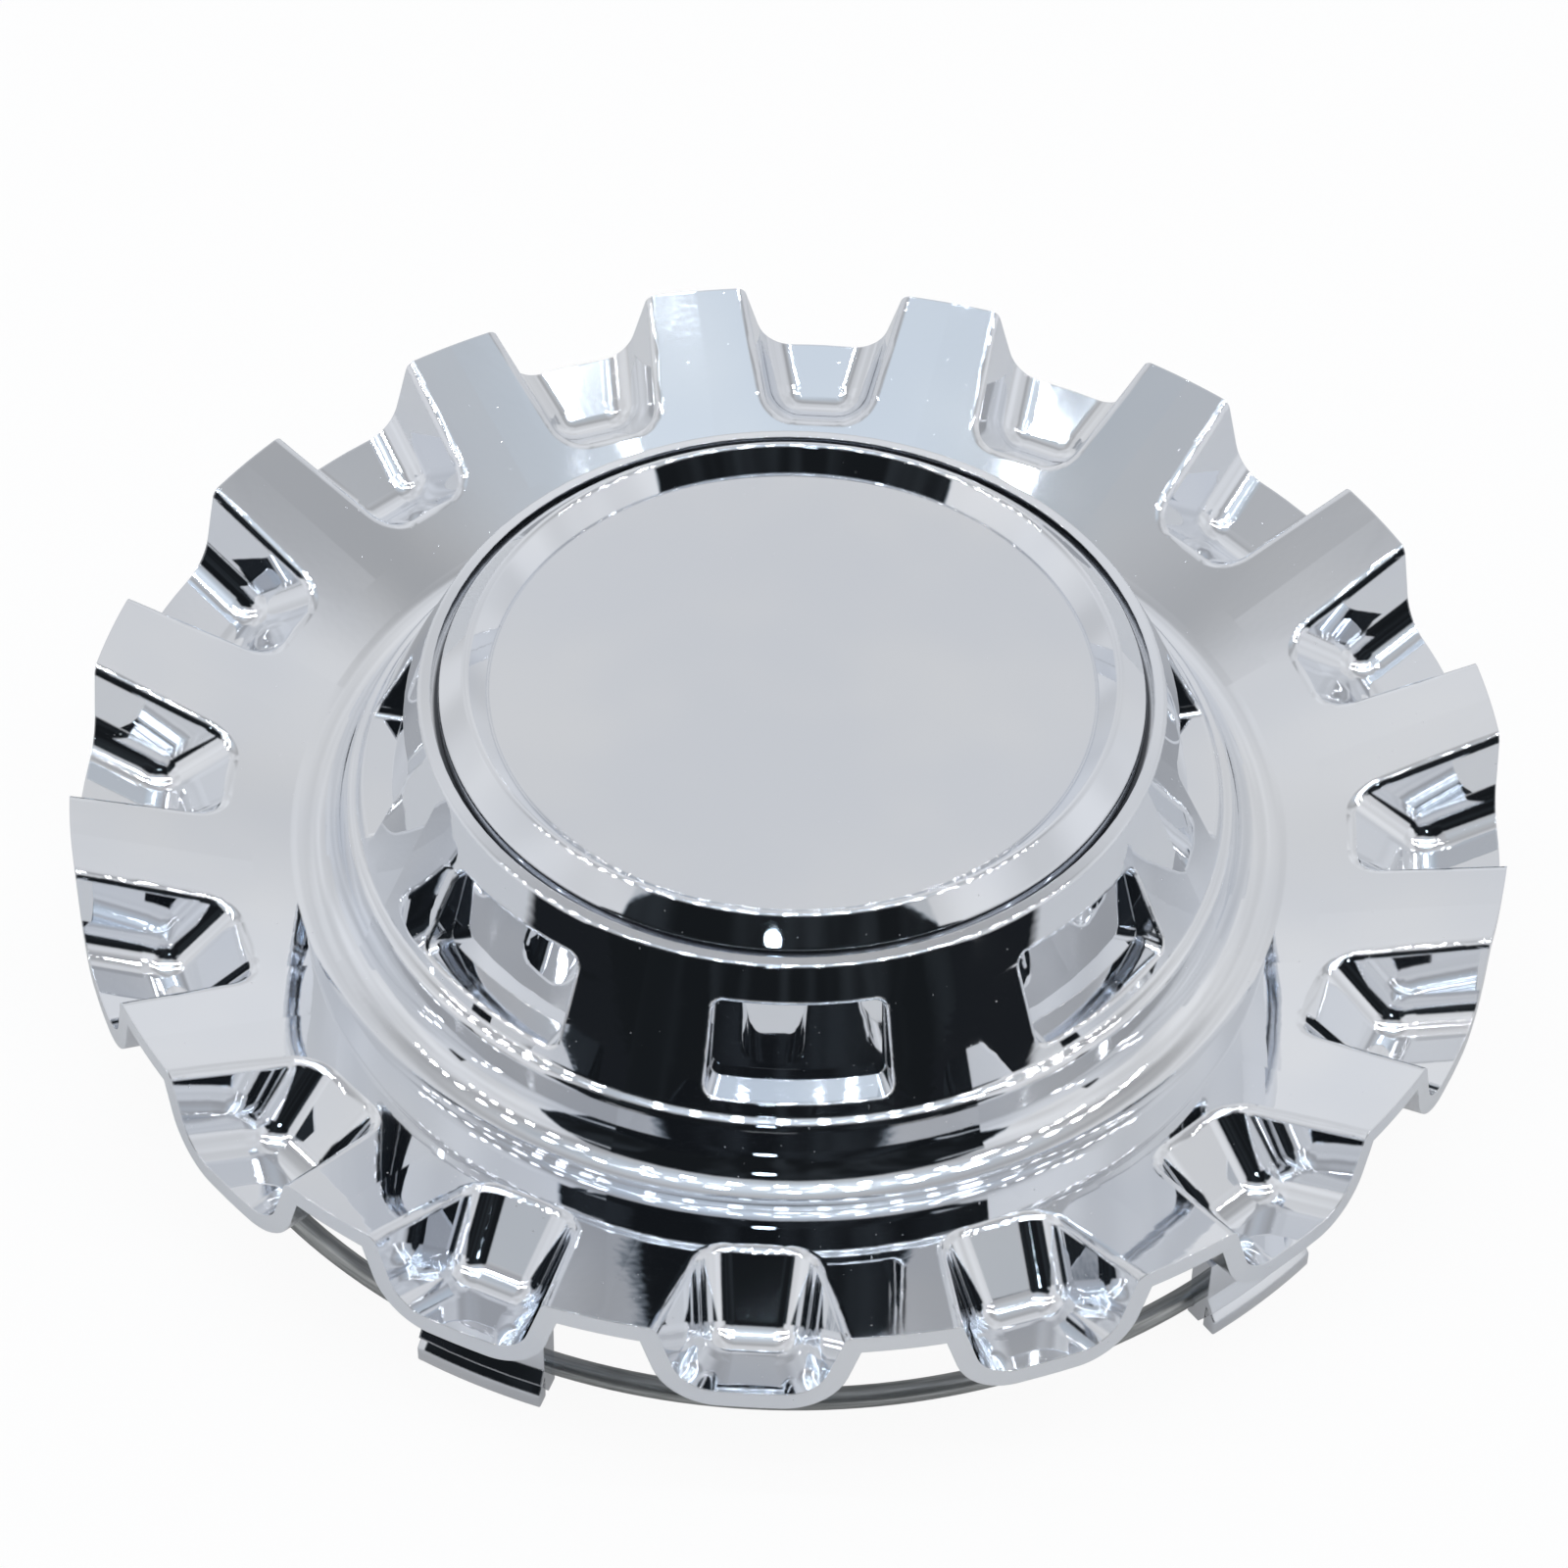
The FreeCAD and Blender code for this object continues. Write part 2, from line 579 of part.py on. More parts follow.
outline(leg_section, [
    ("leg_top_inner", LEG_INSIDE, LEG_ROOT),
    ("leg_low_inner", LEG_INSIDE, HOOK_TOP + " - Sizes.hook_height"),
    ("leg_low_outer", LEG_OUTSIDE, HOOK_TOP + " - Sizes.hook_height"),
    ("hook_tip", SEAT_RADIUS + " + Sizes.leg_hook", HOOK_TOP),
    ("hook_root", LEG_OUTSIDE, HOOK_TOP),
    ("leg_top_outer", LEG_OUTSIDE, LEG_ROOT),
])
leg = revolved(cap, "Revolution", "leg", leg_section, "Sizes.leg_angle")
legs = cap.newObject("PartDesign::PolarPattern", "legs")
legs.Originals = [leg]
legs.Axis = (origin_feature(cap, "Z_Axis"), [""])
legs.Angle = 360
cap.Tip = legs
legs.setExpression("Occurrences", "Sizes.leg_count")
doc.recompute()

# Every feature must be sound before anything is written
for item in doc.Objects:
    for word in item.State:
        if word in ("Invalid", "Error"):
            raise RuntimeError("%s is %s" % (item.Name, word))
    if hasattr(item, "Shape") and item.isDerivedFrom("Part::Feature"):
        if item.Shape.isNull() or not item.Shape.isValid():
            raise RuntimeError("%s has no sound shape" % item.Name)

os.makedirs("parts", exist_ok=True)
for node in (cover, cap, ring):
    if len(node.Shape.Solids) != 1:
        raise RuntimeError("%s is not one solid" % node.Label)
    node.Shape.exportStep("parts/%s.step" % node.Label)
    box = node.Shape.BoundBox
    print(node.Label, "volume", round(node.Shape.Volume, 1), "faces", len(node.Shape.Faces),
          "box", [round(v, 2) for v in (box.XMin, box.YMin, box.ZMin, box.XMax, box.YMax, box.ZMax)])
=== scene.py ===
# %% [markdown]
# # Chrome axle hub cover, dressed for the photograph
# The real thing is a plated plastic cover for a truck wheel: a dished flange with sixteen
# outward-open scoops, a rolled moulding, a drum with eight windows, a separate centre cap and a grey
# spring wire below the rim. The measured solids come in first and fix every size, so the lesson only
# adds finish, light and the finer pieces.

# %% Load the measured solids
import math
import bpy
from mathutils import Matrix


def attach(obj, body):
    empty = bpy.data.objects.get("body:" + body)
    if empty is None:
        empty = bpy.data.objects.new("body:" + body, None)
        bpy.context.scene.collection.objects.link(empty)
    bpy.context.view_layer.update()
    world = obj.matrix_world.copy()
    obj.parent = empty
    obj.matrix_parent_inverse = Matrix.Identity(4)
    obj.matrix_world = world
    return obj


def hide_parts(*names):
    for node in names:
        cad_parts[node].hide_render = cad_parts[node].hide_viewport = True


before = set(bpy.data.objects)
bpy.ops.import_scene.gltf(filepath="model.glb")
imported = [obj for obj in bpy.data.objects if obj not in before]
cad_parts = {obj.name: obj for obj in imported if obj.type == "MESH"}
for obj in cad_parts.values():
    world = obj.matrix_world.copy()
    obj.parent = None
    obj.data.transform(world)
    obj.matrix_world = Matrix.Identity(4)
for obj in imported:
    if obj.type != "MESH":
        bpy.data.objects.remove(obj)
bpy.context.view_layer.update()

# %% [markdown]
# ## Small hand tools
# Operators act on whatever is selected, and loading leaves the solids selected. A lesson is easier
# to follow when selecting is always done the same way, so small helpers do it: they pick an object,
# open and close it for editing, and pick points or edges by where they are.

# %% Selecting helpers
def pick(thing):
    bpy.ops.object.select_all(action="DESELECT")
    thing.select_set(True)
    bpy.context.view_layer.objects.active = thing


def open_mesh(thing):
    pick(thing)
    bpy.ops.object.mode_set(mode="EDIT")


def close_mesh():
    bpy.ops.object.mode_set(mode="OBJECT")


def choose_points(thing, test):
    """Select the points of a mesh in edit mode by their place."""
    bpy.ops.mesh.select_mode(type="VERT")
    bpy.ops.mesh.select_all(action="DESELECT")
    bpy.ops.object.mode_set(mode="OBJECT")
    chosen = 0
    for point in thing.data.vertices:
        point.select = test(point.co)
        chosen += point.select
    bpy.ops.object.mode_set(mode="EDIT")
    return chosen


def choose_edges(thing, test):
    """Select the edges whose two ends pass a test on their places."""
    bpy.ops.mesh.select_mode(type="EDGE")
    bpy.ops.mesh.select_all(action="DESELECT")
    bpy.ops.object.mode_set(mode="OBJECT")
    chosen = 0
    points = thing.data.vertices
    for edge in thing.data.edges:
        edge.select = test(points[edge.vertices[0]].co, points[edge.vertices[1]].co)
        chosen += edge.select
    bpy.ops.object.mode_set(mode="EDIT")
    return chosen


def across(place):
    return math.hypot(place.x, place.y)


MM = 0.001
print("one millimetre is", MM, "Blender units")

# %% [markdown]
# ## Camera
# The photograph was taken with a long lens from about 47 degrees above the rim. Fitting the rim, the
# drum and the cap as circles gave the distance, the lens and a roll of little more than a degree, so
# the camera is put there by number instead of being dragged about.

# %% Camera at the photograph's place
scene = bpy.context.scene
scene.view_settings.view_transform = "Standard"
pick(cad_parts["cover"])
bpy.ops.object.camera_add(location=(0.017175, -0.522779, 0.5844),
                          rotation=[math.radians(a) for a in (43.1322, -0.9203, 2.9623)])
camera = bpy.context.object
camera.name = "photo_camera"
camera.data.sensor_width = 36.0
camera.data.lens = 119.4435
scene.camera = camera
print("camera lens", camera.data.lens, "at", [round(v, 3) for v in camera.location])

# %% [markdown]
# ## Node helpers
# Every finish below is a small net of nodes. A node can be added and wired by hand in the editor; in
# a script a few helpers keep that readable: they start an empty material, add a node and wire its
# inputs, add arithmetic, give the long side of a right-angled triangle and make a soft step.

# %% Node helpers
def empty_material(name):
    made = bpy.data.materials.new(name)
    made.use_nodes = True
    made.node_tree.nodes.clear()
    return made


def node(tree, kind, links=None, **settings):
    made = tree.nodes.new(kind)
    for name, value in settings.items():
        setattr(made, name, value)
    for socket, value in (links or {}).items():
        if isinstance(value, bpy.types.NodeSocket):
            tree.links.new(value, made.inputs[socket])
        else:
            made.inputs[socket].default_value = value
    return made


def sums(tree, operation, first, second=0.0):
    return node(tree, "ShaderNodeMath", {0: first, 1: second}, operation=operation).outputs[0]


def length(tree, first, second):
    return sums(tree, "SQRT", sums(tree, "ADD", sums(tree, "MULTIPLY", first, first),
                                   sums(tree, "MULTIPLY", second, second)))


def fade(tree, value, start, end, low=0.0, high=1.0):
    """A soft step from low at start to high at end."""
    step = node(tree, "ShaderNodeMapRange",
                {"Value": value, "From Min": start, "From Max": end, "To Min": low, "To Max": high},
                interpolation_type="SMOOTHSTEP")
    return step.outputs["Result"]


print("node helpers ready")

# %% [markdown]
# ## The light tent
# Chrome shows nothing but its surroundings. The photograph was taken in a white cloth tent with an
# open dark front: the front of the drum mirrors that opening, the flat disc mirrors the back wall, and
# the dotted bright lines on every rounded edge are rows of small lamps under the roof. The scoops beside
# the front one have light end walls in it; the two pale flaps that they mirror here are a guess. A tent
# of real cloth could be built, but it would stand in the way of other views, so it is painted on the
# world by direction. Camera rays get plain white instead.

# %% Directions in the tent
tent = bpy.data.worlds.new("light_tent")
scene.world = tent
tent.use_nodes = True
cloth = tent.node_tree
cloth.nodes.clear()
direction = node(cloth, "ShaderNodeTexCoord").outputs["Generated"]
sideways, backward, upward = node(cloth, "ShaderNodeSeparateXYZ", {"Vector": direction}).outputs
forward = sums(cloth, "MAXIMUM", sums(cloth, "MULTIPLY", backward, -1.0), 0.0001)
print("tent directions ready")

# %% The dark opening at the front
OPENING_HALF_WIDTH = 1.21
OPENING_TOP = 2.3
FLAP_SIDE, FLAP_LOW, FLAP_HIGH, FLAP_COVER = 0.86, 1.44, 1.66, 0.8
spread = sums(cloth, "DIVIDE", sums(cloth, "ABSOLUTE", sideways), forward)
lift = sums(cloth, "DIVIDE", upward, forward)
in_width = fade(cloth, spread, OPENING_HALF_WIDTH - 0.03, OPENING_HALF_WIDTH + 0.03, 1.0, 0.0)
in_height = fade(cloth, lift, OPENING_TOP - 0.08, OPENING_TOP + 0.08, 1.0, 0.0)
opening = sums(cloth, "MULTIPLY", in_width, in_height)
flap_height = sums(cloth, "MULTIPLY", fade(cloth, lift, FLAP_LOW, FLAP_LOW + 0.04),
                   fade(cloth, lift, FLAP_HIGH - 0.06, FLAP_HIGH, 1.0, 0.0))
flap = sums(cloth, "MULTIPLY", fade(cloth, spread, FLAP_SIDE, FLAP_SIDE + 0.06), flap_height)
uncovered = sums(cloth, "SUBTRACT", 1.0, sums(cloth, "MULTIPLY", flap, FLAP_COVER))
opening = sums(cloth, "MULTIPLY", opening, uncovered)
print("opening half width", round(math.degrees(math.atan(OPENING_HALF_WIDTH)), 1), "degrees")

# %% What stands in the dark room
upright = node(cloth, "ShaderNodeMapping", {"Vector": direction, "Scale": (9.0, 2.0, 0.8)})
shapes = node(cloth, "ShaderNodeTexNoise", {"Vector": upright.outputs["Vector"], "Scale": 1.0,
                                            "Detail": 1.0})
room_tone = fade(cloth, shapes.outputs["Fac"], 0.45, 0.75, 0.013, 0.035)
print("dark room tone ready")

# %% Cloth tone by height, with soft folds, cooler under the roof
tones = node(cloth, "ShaderNodeValToRGB", {"Fac": upward})
tones.color_ramp.interpolation = "EASE"
stops = [(0.0, 0.72), (0.45, 0.80), (0.76, 0.76), (0.85, 0.47), (0.94, 0.62), (1.0, 0.98)]
while len(tones.color_ramp.elements) < len(stops):
    tones.color_ramp.elements.new(0.5)
for stop, (height, tone) in zip(tones.color_ramp.elements, stops):
    stop.position = height
    stop.color = (tone, tone, tone, 1.0)
folds = node(cloth, "ShaderNodeTexNoise", {"Vector": direction, "Scale": 2.6, "Detail": 1.0})
fold_tone = fade(cloth, folds.outputs["Fac"], 0.3, 0.7, 0.88, 1.1)
cloth_tone = sums(cloth, "MULTIPLY", fold_tone, tones.outputs["Color"])
roof_share = fade(cloth, upward, 0.88, 0.98)
cloth_colour = node(cloth, "ShaderNodeMix", {0: roof_share, 6: (0.97, 0.98, 1.0, 1.0),
                                             7: (0.84, 0.92, 1.0, 1.0)}, data_type="RGBA")
tent_colour = node(cloth, "ShaderNodeMix", {0: opening, 6: cloth_colour.outputs[2],
                                            7: (0.72, 0.86, 1.0, 1.0)}, data_type="RGBA")
print("cloth tones", stops)

# %% Rows of small lamps below the roof
roof = sums(cloth, "MAXIMUM", upward, 0.05)
roof_x = sums(cloth, "DIVIDE", sideways, roof)
roof_y = sums(cloth, "DIVIDE", backward, roof)


def lamp_row(place, size, pitch, reach):
    """A row of round lamps across the roof at one place from front to back."""
    gap = sums(cloth, "SUBTRACT", roof_y, place)
    step = sums(cloth, "PINGPONG", roof_x, pitch / 2)
    dot = fade(cloth, length(cloth, gap, step), size * 0.6, size, 1.0, 0.0)
    end = fade(cloth, sums(cloth, "ABSOLUTE", roof_x), reach * 0.95, reach, 1.0, 0.0)
    return sums(cloth, "MULTIPLY", dot, end)


LAMP_SIZE, LAMP_PITCH, ROW_REACH = 0.014, 0.08, 0.9
BACK_ROW, FRONT_ROW = 0.16, -0.14
lamps = sums(cloth, "ADD", lamp_row(BACK_ROW, LAMP_SIZE, LAMP_PITCH, ROW_REACH),
             lamp_row(FRONT_ROW, LAMP_SIZE, LAMP_PITCH, ROW_REACH))
lamps = sums(cloth, "MULTIPLY", lamps, fade(cloth, upward, 0.3, 0.4))
print("lamp rows at the roof:", BACK_ROW, FRONT_ROW)

# %% Loose sparkle of a lamp panel behind the cloth
panel = node(cloth, "ShaderNodeCombineXYZ", {0: roof_x, 1: roof_y})
specks = node(cloth, "ShaderNodeTexVoronoi", {"Vector": panel.outputs[0], "Scale": 17.0},
              voronoi_dimensions="2D")
keep = node(cloth, "ShaderNodeSeparateXYZ", {"Vector": specks.outputs["Color"]}).outputs[0]
speck = sums(cloth, "MULTIPLY", fade(cloth, specks.outputs["Distance"], 0.12, 0.24, 1.0, 0.0),
             fade(cloth, keep, 0.35, 0.4))
PANEL_PLACE = 0.06
from_panel = sums(cloth, "ABSOLUTE", sums(cloth, "SUBTRACT", roof_y, PANEL_PLACE))
panel_end = fade(cloth, from_panel, 0.09, 0.12, 1.0, 0.0)
panel_side = fade(cloth, sums(cloth, "ABSOLUTE", roof_x), 0.3, 0.36, 1.0, 0.0)
sparkle = sums(cloth, "MULTIPLY", sums(cloth, "MULTIPLY", speck, panel_end),
               sums(cloth, "MULTIPLY", panel_side, fade(cloth, upward, 0.3, 0.4)))
print("sparkle panel ready")

# %% One room lamp seen through the opening
LAMP_SIDE, LAMP_UP = -0.03, 0.751
LAMP_HALF_WIDTH, LAMP_HALF_HEIGHT = 0.035, 0.012
away_x = sums(cloth, "DIVIDE", sums(cloth, "SUBTRACT", sideways, LAMP_SIDE), LAMP_HALF_WIDTH)
away_z = sums(cloth, "DIVIDE", sums(cloth, "SUBTRACT", upward, LAMP_UP), LAMP_HALF_HEIGHT)
lamp_spot = fade(cloth, length(cloth, away_x, away_z), 0.6, 1.0, 1.0, 0.0)
room_lamp = sums(cloth, "MULTIPLY", lamp_spot, fade(cloth, forward, 0.1, 0.2))
print("room lamp at height", LAMP_UP)

# %% Put the tent together
hidden = sums(cloth, "SUBTRACT", 1.0, opening)
level = sums(cloth, "ADD", sums(cloth, "MULTIPLY", cloth_tone, hidden),
             sums(cloth, "MULTIPLY", room_tone, opening))
LIGHT_STRENGTHS = ((lamps, 90.0), (sparkle, 7.0), (room_lamp, 40.0))
for light, strength in LIGHT_STRENGTHS:
    level = sums(cloth, "ADD", level, sums(cloth, "MULTIPLY", light, strength))
ray = node(cloth, "ShaderNodeLightPath")
seen = node(cloth, "ShaderNodeBackground", {"Color": (1.0, 1.0, 1.0, 1.0), "Strength": 1.0})
lit = node(cloth, "ShaderNodeBackground", {"Color": tent_colour.outputs[2], "Strength": level})
both = node(cloth, "ShaderNodeMixShader", {0: ray.outputs["Is Camera Ray"], 1: lit.outputs[0],
                                           2: seen.outputs[0]})
node(cloth, "ShaderNodeOutputWorld", {"Surface": both.outputs[0]})
print("tent has", len(cloth.nodes), "nodes")

# %% [markdown]
# ## Floor
# The cover stands on white card. In the picture the card is burnt out to white, so camera rays mostly
# see its own white and only a breath of the shadow. Mirrored in the chrome it is greyer. The card ends
# at the tent's front edge; past it a mirror sees the dark room, which is why the drum stays black down
# to its foot.

# %% Floor card
pick(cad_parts["cover"])
bpy.ops.mesh.primitive_plane_add(size=3.0, location=(0.0, 0.0, 0.0))
card = bpy.context.object
card.name = "floor_card"
card_white = empty_material("white_card")
sheet = card_white.node_tree
card_place = node(sheet, "ShaderNodeTexCoord").outputs["Object"]
spot = node(sheet, "ShaderNodeSeparateXYZ", {"Vector": card_place})
CARD_EDGE = -0.2
past_edge = fade(sheet, spot.outputs["Y"], CARD_EDGE, CARD_EDGE - 0.06)
light_path = node(sheet, "ShaderNodeLightPath")
matt = node(sheet, "ShaderNodeBsdfDiffuse", {"Color": (0.9, 0.9, 0.91, 1.0)})
dark = node(sheet, "ShaderNodeEmission", {"Color": (0.012, 0.014, 0.017, 1.0), "Strength": 1.0})
card_glow = fade(sheet, light_path.outputs["Is Camera Ray"], 0.0, 1.0, 0.5, 1.0)
white = node(sheet, "ShaderNodeEmission", {"Color": (1.0, 1.0, 1.0, 1.0), "Strength": card_glow})
burnt = sums(sheet, "ADD", sums(sheet, "MULTIPLY", light_path.outputs["Is Camera Ray"], 0.94),
             sums(sheet, "MULTIPLY", light_path.outputs["Is Glossy Ray"], 0.5))
bright_card = node(sheet, "ShaderNodeMixShader", {0: burnt, 1: matt.outputs[0], 2: white.outputs[0]})
mirrored_dark = sums(sheet, "MULTIPLY", past_edge, light_path.outputs["Is Glossy Ray"])
seen_card = node(sheet, "ShaderNodeMixShader", {0: mirrored_dark, 1: bright_card.outputs[0],
                                                2: dark.outputs[0]})
node(sheet, "ShaderNodeOutputMaterial", {"Surface": seen_card.outputs[0]})
card.data.materials.append(card_white)
print("floor card", [round(v, 2) for v in card.dimensions])

# %% [markdown]
# ## Chrome on moulded plastic
# Plated plastic is a bright mirror with a faint blue cast, but never a perfect one: the moulding under
# it is slightly wavy, a fine peel shows in sharp reflections, and a few dust pits and wiping hazes dull
# it. A flat metal shader would look like computer chrome, so plain noises give the waves, the haze and
# the pits. Plating also hardly reaches narrow gaps and the hidden side, so the gap round the centre cap
# and the underside are rougher; both are picked by place and by which way the surface faces. The gap
# round the cap also gets painted shade: its colour is mixed to near black where shade falls between
# cap and cover. A rounded-edge normal takes the sharpness off the thin rim edges.

# %% Chrome finish
# The place of the gap round the centre cap, where painted shade darkens the colour below.
GAP_IN, GAP_OUT, GAP_LOW, GAP_TOP = 51.0 * MM, 52.2 * MM, 44.0 * MM, 46.2 * MM
PEEL_DEPTH, EDGE_ROUND = 0.0016 * MM, 0.35 * MM


def chrome_finish(name, wave_depth, haze_most):
    finish = empty_material(name)
    net = finish.node_tree
    place = node(net, "ShaderNodeTexCoord").outputs["Object"]
    waves = node(net, "ShaderNodeTexNoise", {"Vector": place, "Scale": 42.0, "Detail": 0.0})
    peel = node(net, "ShaderNodeTexNoise", {"Vector": place, "Scale": 900.0, "Detail": 0.0})
    haze = node(net, "ShaderNodeTexNoise", {"Vector": place, "Scale": 26.0, "Detail": 2.0,
                                            "Roughness": 0.62})
    pits = node(net, "ShaderNodeTexNoise", {"Vector": place, "Scale": 1600.0, "Detail": 0.0})
    pit = fade(net, pits.outputs["Fac"], 0.85, 0.89)
    haze_rough = fade(net, haze.outputs["Fac"], 0.45, 0.8, 0.018, haze_most)
    x, y, z = node(net, "ShaderNodeSeparateXYZ", {"Vector": place}).outputs
    out = length(net, x, y)
    in_gap = sums(net, "MULTIPLY", fade(net, out, GAP_IN, GAP_IN + 0.05 * MM),
                  fade(net, out, GAP_OUT - 0.7 * MM, GAP_OUT, 1.0, 0.0))
    gap_depth = sums(net, "MULTIPLY", fade(net, z, GAP_TOP - 1.0 * MM, GAP_TOP, 1.0, 0.0),
                     fade(net, z, GAP_LOW, GAP_LOW + 0.3 * MM))
    gap = sums(net, "MULTIPLY", in_gap, gap_depth)
    normal = node(net, "ShaderNodeTexCoord").outputs["Normal"]
    facing = node(net, "ShaderNodeSeparateXYZ", {"Vector": normal})
    below = fade(net, facing.outputs["Z"], -0.1, -0.4)
    dull = sums(net, "MAXIMUM", gap, sums(net, "MULTIPLY", below, 0.6))
    rough = sums(net, "MAXIMUM", haze_rough, sums(net, "MULTIPLY", pit, 0.3))
    rough = sums(net, "MAXIMUM", rough, sums(net, "MULTIPLY", dull, 0.4))
    tint_and_gap_shade = node(net, "ShaderNodeMix", {0: fade(net, haze.outputs["Fac"], 0.35, 0.7),
                                       6: (0.80, 0.825, 0.87, 1.0), 7: (0.85, 0.865, 0.89, 1.0)},
                data_type="RGBA")
    # Painted shade: inside the gap round the centre cap the colour is mixed to near black, standing in
    # for the shade that falls there.
    tint_and_gap_shade = node(net, "ShaderNodeMix", {0: gap, 6: tint_and_gap_shade.outputs[2], 7: (0.10, 0.105, 0.115, 1.0)},
                data_type="RGBA")
    soft_edge = node(net, "ShaderNodeBevel", {"Radius": EDGE_ROUND}, samples=2)
    wavy = node(net, "ShaderNodeBump", {"Height": waves.outputs["Fac"], "Strength": 1.0,
                                        "Distance": wave_depth, "Normal": soft_edge.outputs[0]})
    fine = node(net, "ShaderNodeBump", {"Height": peel.outputs["Fac"], "Strength": 1.0,
                                        "Distance": PEEL_DEPTH, "Normal": wavy.outputs[0]})
    metal = node(net, "ShaderNodeBsdfPrincipled", {"Base Color": tint_and_gap_shade.outputs[2], "Metallic": 1.0,
                                                   "Roughness": rough, "Normal": fine.outputs[0]})
    node(net, "ShaderNodeOutputMaterial", {"Surface": metal.outputs[0]})
    return finish


cover_chrome = chrome_finish("cover_chrome", wave_depth=0.16 * MM, haze_most=0.06)
cap_chrome = chrome_finish("cap_chrome", wave_depth=0.02 * MM, haze_most=0.04)
clip_chrome = chrome_finish("clip_chrome", wave_depth=0.25 * MM, haze_most=0.28)
print("chrome finishes:", cover_chrome.name, cap_chrome.name, clip_chrome.name)

# %% [markdown]
# ## Drawn steel
# The spring wire is plain drawn steel: darker than chrome, matt, with fine drawing lines that run round
# the ring. Lines that follow the wire need a coordinate that does not change along it, so the noise
# reads the distance from the axis and the height, and only very little of the angle.

# %% Wire finish
def wire_finish(name):
    finish = empty_material(name)
    net = finish.node_tree
    place = node(net, "ShaderNodeTexCoord").outputs["Object"]
    x, y, z = node(net, "ShaderNodeSeparateXYZ", {"Vector": place}).outputs
    out = length(net, x, y)
    turn = sums(net, "MULTIPLY", sums(net, "ARCTAN2", y, x), 0.004)
    along = node(net, "ShaderNodeCombineXYZ", {0: out, 1: z, 2: turn})
    lines = node(net, "ShaderNodeTexNoise", {"Vector": along.outputs[0], "Scale": 2600.0, "Detail": 3.0})
    stain = node(net, "ShaderNodeTexNoise", {"Vector": place, "Scale": 70.0, "Detail": 4.0})
    tone = sums(net, "ADD", sums(net, "MULTIPLY", lines.outputs["Fac"], 0.6),
                sums(net, "MULTIPLY", stain.outputs["Fac"], 0.4))
    colour = node(net, "ShaderNodeMix", {0: fade(net, tone, 0.35, 0.65), 6: (0.34, 0.35, 0.345, 1.0),
                                         7: (0.58, 0.59, 0.58, 1.0)}, data_type="RGBA")
    rough = fade(net, tone, 0.35, 0.65, 0.42, 0.28)
    bump = node(net, "ShaderNodeBump", {"Height": lines.outputs["Fac"], "Strength": 1.0,
                                        "Distance": 0.02 * MM})
    metal = node(net, "ShaderNodeBsdfPrincipled", {"Base Color": colour.outputs[2], "Metallic": 0.7,
                                                   "Roughness": rough, "Normal": bump.outputs[0]})
    node(net, "ShaderNodeOutputMaterial", {"Surface": metal.outputs[0]})
    return finish


drawn_steel = wire_finish("drawn_steel")
print("wire finish:", drawn_steel.name)

# %% [markdown]
# ## The cover
# The flange, scoops, roll, drum windows and clip feet are one moulding, and the measured solid already
# has their true curved surfaces. Remaking it point by point would only copy it, so the solid stays and
# gets the chrome.

# %% Dress the cover
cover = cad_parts["cover"]
for slot in cover.material_slots:
    slot.material = cover_chrome
print("cover faces", len(cover.data.polygons))

# %% [markdown]
# ## The centre cap
# The cap is a separate bevelled ring with a recessed blank disc. It is turned: a round disc is drawn,
# its edge is extruded and scaled ring by ring along the section, and three of the rings are bevelled. A
# spun section would do as well, but growing it from the disc keeps one clean face in the middle. Six
# hooked legs, cut from boxes, stand for the hidden fastening below.

# %% Grow the cap from its disc
CAP_SECTION = [
    (43.75, 47.35), (43.8, 47.1), (44.05, 47.1), (44.1, 47.35), (47.0, 51.0), (51.1, 47.4), (51.1, 44.8),
    (48.7, 44.8), (48.7, 46.2), (47.0, 47.64), (45.3, 44.95),
]
CREST, RIM = 4, 5


def ring_at(radius, height):
    """A test for the edges of the ring at one radius and height, in millimetres."""
    def test(a, b):
        return all(abs(across(p) - radius * MM) < 1e-5 and abs(p.z - height * MM) < 1e-5 for p in (a, b))
    return test


pick(cover)
bpy.ops.mesh.primitive_circle_add(vertices=256, radius=CAP_SECTION[0][0] * MM, fill_type="NGON",
                                  location=(0.0, 0.0, CAP_SECTION[0][1] * MM))
cap = bpy.context.object
cap.name = "centre_cap_chrome"
bpy.ops.object.transform_apply(location=True, rotation=True, scale=True)
open_mesh(cap)
for (radius, height), (next_radius, next_height) in zip(CAP_SECTION, CAP_SECTION[1:]):
    choose_edges(cap, ring_at(radius, height))
    rise = (next_height - height) * MM
    bpy.ops.mesh.extrude_edges_move(TRANSFORM_OT_translate={"value": (0.0, 0.0, rise)})
    grow = next_radius / radius
    bpy.ops.transform.resize(value=(grow, grow, 1.0), center_override=(0.0, 0.0, 0.0))
bpy.ops.mesh.edge_face_add()
print("cap rings", len(CAP_SECTION), "points", len(cap.data.vertices))

# %% Round the cap's rings
CAP_ROUNDS = ((CAP_SECTION[CREST], 0.88), (CAP_SECTION[RIM], 0.4), (CAP_SECTION[0], 0.1))
for (radius, height), width in CAP_ROUNDS:
    chosen = choose_edges(cap, ring_at(radius, height))
    bpy.ops.mesh.bevel(offset=width * MM, segments=4, profile=0.5, affect="EDGES")
    print("rounded ring at", radius, "mm with", chosen, "edges")
bpy.ops.mesh.select_all(action="SELECT")
bpy.ops.mesh.remove_doubles(threshold=1e-7)
bpy.ops.mesh.normals_make_consistent(inside=False)
close_mesh()

